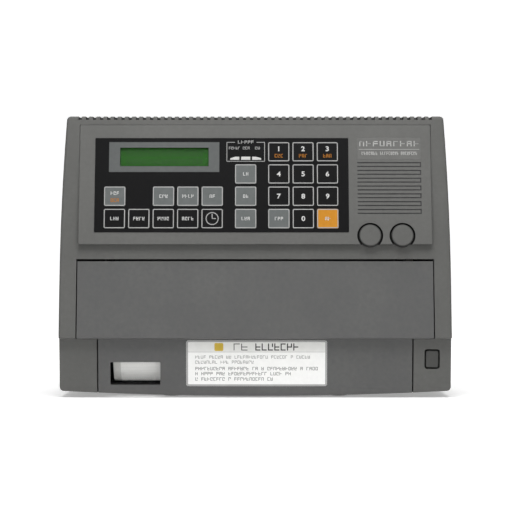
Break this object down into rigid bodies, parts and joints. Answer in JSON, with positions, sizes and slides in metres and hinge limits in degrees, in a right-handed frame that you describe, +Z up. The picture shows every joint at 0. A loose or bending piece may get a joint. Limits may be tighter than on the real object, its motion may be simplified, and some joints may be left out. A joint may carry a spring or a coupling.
{
  "type": "weather fax receiver",
  "caption": "Upright chart-paper fax receiver with sloping key panel, small display, speaker louvres, two knobs, fold-down paper door with roll window, and a bulkhead back",
  "frame": {"origin": "centre of the bounding box's bottom face, on the surface the feet stand on", "axes": "+X to the viewer's right along the width, -Y out of the front, +Z up"},
  "size_m": [0.372, 0.1249, 0.2689],
  "materials": {
    "casing_plastic": "fine spark-textured moulding, matt",
    "door_plastic": "fine spark-textured moulding, matt",
    "frame_steel": "black passivated sheet steel",
    "overlay_film": "fine matt printed film",
    "clear_lens": "clear polished plastic",
    "display_green": "dark green display behind glass",
    "board": "solder resist",
    "black_plastic": "moulded",
    "badge_film": "printed film",
    "zinc_steel": "zinc plated",
    "head_aluminium": "milled",
    "label_film": "printed satin label",
    "bright_steel": "ground",
    "recording_paper": "thermal recording paper",
    "holder_plastic": "moulded",
    "platen_rubber": "ground rubber",
    "brass": "machined",
    "gear_nylon": "natural nylon",
    "nickel_brass": "nickel plated",
    "foot_rubber": "moulded",
    "key_black": "printed film with a light frame line",
    "key_grey": "printed film with a light frame line",
    "key_orange": "printed film with a light frame line",
    "key_white": "moulded"
  },
  "bodies": {
    "cabinet": {"front_casing": "casing_plastic", "rear_cover": "casing_plastic", "paper_bay": "frame_steel", "control_panel": "casing_plastic", "key_overlay": "overlay_film", "display_window": "clear_lens", "display_module": "display_green", "main_board": "board", "speaker": "black_plastic", "name_badge": "badge_film", "potentiometers": "zinc_steel", "hinge_pins": "bright_steel", "drive_motor": "zinc_steel", "power_supply": "zinc_steel", "aerial_socket": "nickel_brass", "power_inlet": "nickel_brass", "rubber_feet": "foot_rubber", "casing_screws": "bright_steel"},
    "door": {"paper_door": "door_plastic", "door_window": "clear_lens", "door_label": "label_film"},
    "print_head": {"thermal_head": "head_aluminium"},
    "volume": {"volume_knob": "casing_plastic"},
    "contrast": {"contrast_knob": "casing_plastic"},
    "release": {"release_button": "casing_plastic"},
    "latch": {"latch_slide": "black_plastic"},
    "paper": {"paper_roll": "recording_paper", "roll_core": "holder_plastic"},
    "platen": {"platen_roller": "platen_rubber", "platen_shaft": "bright_steel", "platen_gear": "gear_nylon"},
    "pinion": {"motor_pinion": "brass"},
    "idler": {"idler_gear": "gear_nylon"},
    "menu_key_1_body": {"menu_key_1": "key_black"},
    "menu_key_2_body": {"menu_key_2": "key_black"},
    "menu_key_3_body": {"menu_key_3": "key_black"},
    "menu_key_4_body": {"menu_key_4": "key_black"},
    "menu_key_5_body": {"menu_key_5": "key_black"},
    "mode_key_1_body": {"mode_key_1": "key_grey"},
    "mode_key_2_body": {"mode_key_2": "key_grey"},
    "mode_key_3_body": {"mode_key_3": "key_grey"},
    "mode_key_4_body": {"mode_key_4": "key_grey"},
    "side_key_1_body": {"side_key_1": "key_grey"},
    "side_key_2_body": {"side_key_2": "key_grey"},
    "side_key_3_body": {"side_key_3": "key_grey"},
    "digit_key_0_body": {"digit_key_0": "key_black"},
    "digit_key_1_body": {"digit_key_1": "key_black"},
    "digit_key_2_body": {"digit_key_2": "key_black"},
    "digit_key_3_body": {"digit_key_3": "key_black"},
    "digit_key_4_body": {"digit_key_4": "key_black"},
    "digit_key_5_body": {"digit_key_5": "key_black"},
    "digit_key_6_body": {"digit_key_6": "key_black"},
    "digit_key_7_body": {"digit_key_7": "key_black"},
    "digit_key_8_body": {"digit_key_8": "key_black"},
    "digit_key_9_body": {"digit_key_9": "key_black"},
    "clear_key_body": {"clear_key": "key_grey"},
    "start_key_body": {"start_key": "key_orange"},
    "power_key_1_body": {"power_key_1": "key_white"},
    "power_key_2_body": {"power_key_2": "key_white"},
    "power_key_3_body": {"power_key_3": "key_white"}
  },
  "joints": [
    {"name": "door_hinge", "type": "hinge", "parent": "cabinet", "child": "door", "pos_m": [0, -0.0455, 0.0125], "axis": [1, 0, 0], "range_deg": [0, 75]},
    {"name": "head_pivot", "type": "hinge", "parent": "door", "child": "print_head", "pos_m": [0, -0.0424, 0.1065], "axis": [1, 0, 0], "range_deg": [0, 2.5], "stiffness_Nm_per_rad": 8, "springref_deg": -2.86},
    {"name": "volume_turn", "type": "hinge", "parent": "cabinet", "child": "volume", "pos_m": [0.109, -0.05575, 0.1541], "axis": [0, -0.9857, 0.1685], "range_deg": [-140, 140]},
    {"name": "contrast_turn", "type": "hinge", "parent": "cabinet", "child": "contrast", "pos_m": [0.1396, -0.05575, 0.1541], "axis": [0, -0.9857, 0.1685], "range_deg": [-140, 140]},
    {"name": "release_press", "type": "slide", "parent": "cabinet", "child": "release", "axis": [0, 0.9963, 0.0854], "range_m": [0, 0.003], "stiffness_N_per_m": 400, "springref_m": -0.0005},
    {"name": "latch_lift", "type": "slide", "parent": "cabinet", "child": "latch", "axis": [0, 0, 1], "range_m": [0, 0.003]},
    {"name": "platen_spin", "type": "hinge", "parent": "cabinet", "child": "platen", "pos_m": [0, -0.0265, 0.1175], "axis": [1, 0, 0], "continuous": true},
    {"name": "idler_spin", "type": "hinge", "parent": "cabinet", "child": "idler", "pos_m": [0.149, -0.01594, 0.09484], "axis": [1, 0, 0], "continuous": true},
    {"name": "motor_spin", "type": "hinge", "parent": "cabinet", "child": "pinion", "pos_m": [0.149, 0.00128, 0.10287], "axis": [1, 0, 0], "continuous": true},
    {"name": "paper_spin", "type": "hinge", "parent": "cabinet", "child": "paper", "pos_m": [0, -0.0185, 0.04], "axis": [1, 0, 0], "continuous": true},
    {"name": "menu_key_1_press", "type": "slide", "parent": "cabinet", "child": "menu_key_1_body", "axis": [0, 0.9857, -0.1685], "range_m": [0, 0.0006], "stiffness_N_per_m": 900, "springref_m": -0.0002},
    {"name": "menu_key_2_press", "type": "slide", "parent": "cabinet", "child": "menu_key_2_body", "axis": [0, 0.9857, -0.1685], "range_m": [0, 0.0006], "stiffness_N_per_m": 900, "springref_m": -0.0002},
    {"name": "menu_key_3_press", "type": "slide", "parent": "cabinet", "child": "menu_key_3_body", "axis": [0, 0.9857, -0.1685], "range_m": [0, 0.0006], "stiffness_N_per_m": 900, "springref_m": -0.0002},
    {"name": "menu_key_4_press", "type": "slide", "parent": "cabinet", "child": "menu_key_4_body", "axis": [0, 0.9857, -0.1685], "range_m": [0, 0.0006], "stiffness_N_per_m": 900, "springref_m": -0.0002},
    {"name": "menu_key_5_press", "type": "slide", "parent": "cabinet", "child": "menu_key_5_body", "axis": [0, 0.9857, -0.1685], "range_m": [0, 0.0006], "stiffness_N_per_m": 900, "springref_m": -0.0002},
    {"name": "mode_key_1_press", "type": "slide", "parent": "cabinet", "child": "mode_key_1_body", "axis": [0, 0.9857, -0.1685], "range_m": [0, 0.0006], "stiffness_N_per_m": 900, "springref_m": -0.0002},
    {"name": "mode_key_2_press", "type": "slide", "parent": "cabinet", "child": "mode_key_2_body", "axis": [0, 0.9857, -0.1685], "range_m": [0, 0.0006], "stiffness_N_per_m": 900, "springref_m": -0.0002},
    {"name": "mode_key_3_press", "type": "slide", "parent": "cabinet", "child": "mode_key_3_body", "axis": [0, 0.9857, -0.1685], "range_m": [0, 0.0006], "stiffness_N_per_m": 900, "springref_m": -0.0002},
    {"name": "mode_key_4_press", "type": "slide", "parent": "cabinet", "child": "mode_key_4_body", "axis": [0, 0.9857, -0.1685], "range_m": [0, 0.0006], "stiffness_N_per_m": 900, "springref_m": -0.0002},
    {"name": "side_key_1_press", "type": "slide", "parent": "cabinet", "child": "side_key_1_body", "axis": [0, 0.9857, -0.1685], "range_m": [0, 0.0006], "stiffness_N_per_m": 900, "springref_m": -0.0002},
    {"name": "side_key_2_press", "type": "slide", "parent": "cabinet", "child": "side_key_2_body", "axis": [0, 0.9857, -0.1685], "range_m": [0, 0.0006], "stiffness_N_per_m": 900, "springref_m": -0.0002},
    {"name": "side_key_3_press", "type": "slide", "parent": "cabinet", "child": "side_key_3_body", "axis": [0, 0.9857, -0.1685], "range_m": [0, 0.0006], "stiffness_N_per_m": 900, "springref_m": -0.0002},
    {"name": "digit_key_0_press", "type": "slide", "parent": "cabinet", "child": "digit_key_0_body", "axis": [0, 0.9857, -0.1685], "range_m": [0, 0.0006], "stiffness_N_per_m": 900, "springref_m": -0.0002},
    {"name": "digit_key_1_press", "type": "slide", "parent": "cabinet", "child": "digit_key_1_body", "axis": [0, 0.9857, -0.1685], "range_m": [0, 0.0006], "stiffness_N_per_m": 900, "springref_m": -0.0002},
    {"name": "digit_key_2_press", "type": "slide", "parent": "cabinet", "child": "digit_key_2_body", "axis": [0, 0.9857, -0.1685], "range_m": [0, 0.0006], "stiffness_N_per_m": 900, "springref_m": -0.0002},
    {"name": "digit_key_3_press", "type": "slide", "parent": "cabinet", "child": "digit_key_3_body", "axis": [0, 0.9857, -0.1685], "range_m": [0, 0.0006], "stiffness_N_per_m": 900, "springref_m": -0.0002},
    {"name": "digit_key_4_press", "type": "slide", "parent": "cabinet", "child": "digit_key_4_body", "axis": [0, 0.9857, -0.1685], "range_m": [0, 0.0006], "stiffness_N_per_m": 900, "springref_m": -0.0002},
    {"name": "digit_key_5_press", "type": "slide", "parent": "cabinet", "child": "digit_key_5_body", "axis": [0, 0.9857, -0.1685], "range_m": [0, 0.0006], "stiffness_N_per_m": 900, "springref_m": -0.0002},
    {"name": "digit_key_6_press", "type": "slide", "parent": "cabinet", "child": "digit_key_6_body", "axis": [0, 0.9857, -0.1685], "range_m": [0, 0.0006], "stiffness_N_per_m": 900, "springref_m": -0.0002},
    {"name": "digit_key_7_press", "type": "slide", "parent": "cabinet", "child": "digit_key_7_body", "axis": [0, 0.9857, -0.1685], "range_m": [0, 0.0006], "stiffness_N_per_m": 900, "springref_m": -0.0002},
    {"name": "digit_key_8_press", "type": "slide", "parent": "cabinet", "child": "digit_key_8_body", "axis": [0, 0.9857, -0.1685], "range_m": [0, 0.0006], "stiffness_N_per_m": 900, "springref_m": -0.0002},
    {"name": "digit_key_9_press", "type": "slide", "parent": "cabinet", "child": "digit_key_9_body", "axis": [0, 0.9857, -0.1685], "range_m": [0, 0.0006], "stiffness_N_per_m": 900, "springref_m": -0.0002},
    {"name": "clear_key_press", "type": "slide", "parent": "cabinet", "child": "clear_key_body", "axis": [0, 0.9857, -0.1685], "range_m": [0, 0.0006], "stiffness_N_per_m": 900, "springref_m": -0.0002},
    {"name": "start_key_press", "type": "slide", "parent": "cabinet", "child": "start_key_body", "axis": [0, 0.9857, -0.1685], "range_m": [0, 0.0006], "stiffness_N_per_m": 900, "springref_m": -0.0002},
    {"name": "power_key_1_press", "type": "slide", "parent": "cabinet", "child": "power_key_1_body", "axis": [0, 0.9857, -0.1685], "range_m": [0, 0.0008], "stiffness_N_per_m": 900, "springref_m": -0.0002},
    {"name": "power_key_2_press", "type": "slide", "parent": "cabinet", "child": "power_key_2_body", "axis": [0, 0.9857, -0.1685], "range_m": [0, 0.0008], "stiffness_N_per_m": 900, "springref_m": -0.0002},
    {"name": "power_key_3_press", "type": "slide", "parent": "cabinet", "child": "power_key_3_body", "axis": [0, 0.9857, -0.1685], "range_m": [0, 0.0008], "stiffness_N_per_m": 900, "springref_m": -0.0002}
  ],
  "couplings": [
    {"joint": "latch_lift", "follows": "release_press", "ratio": 1},
    {"joint": "idler_spin", "follows": "platen_spin", "ratio": -1.0833},
    {"joint": "motor_spin", "follows": "platen_spin", "ratio": 1.8571},
    {"joint": "paper_spin", "follows": "platen_spin", "ratio": 0.37037}
  ]
}
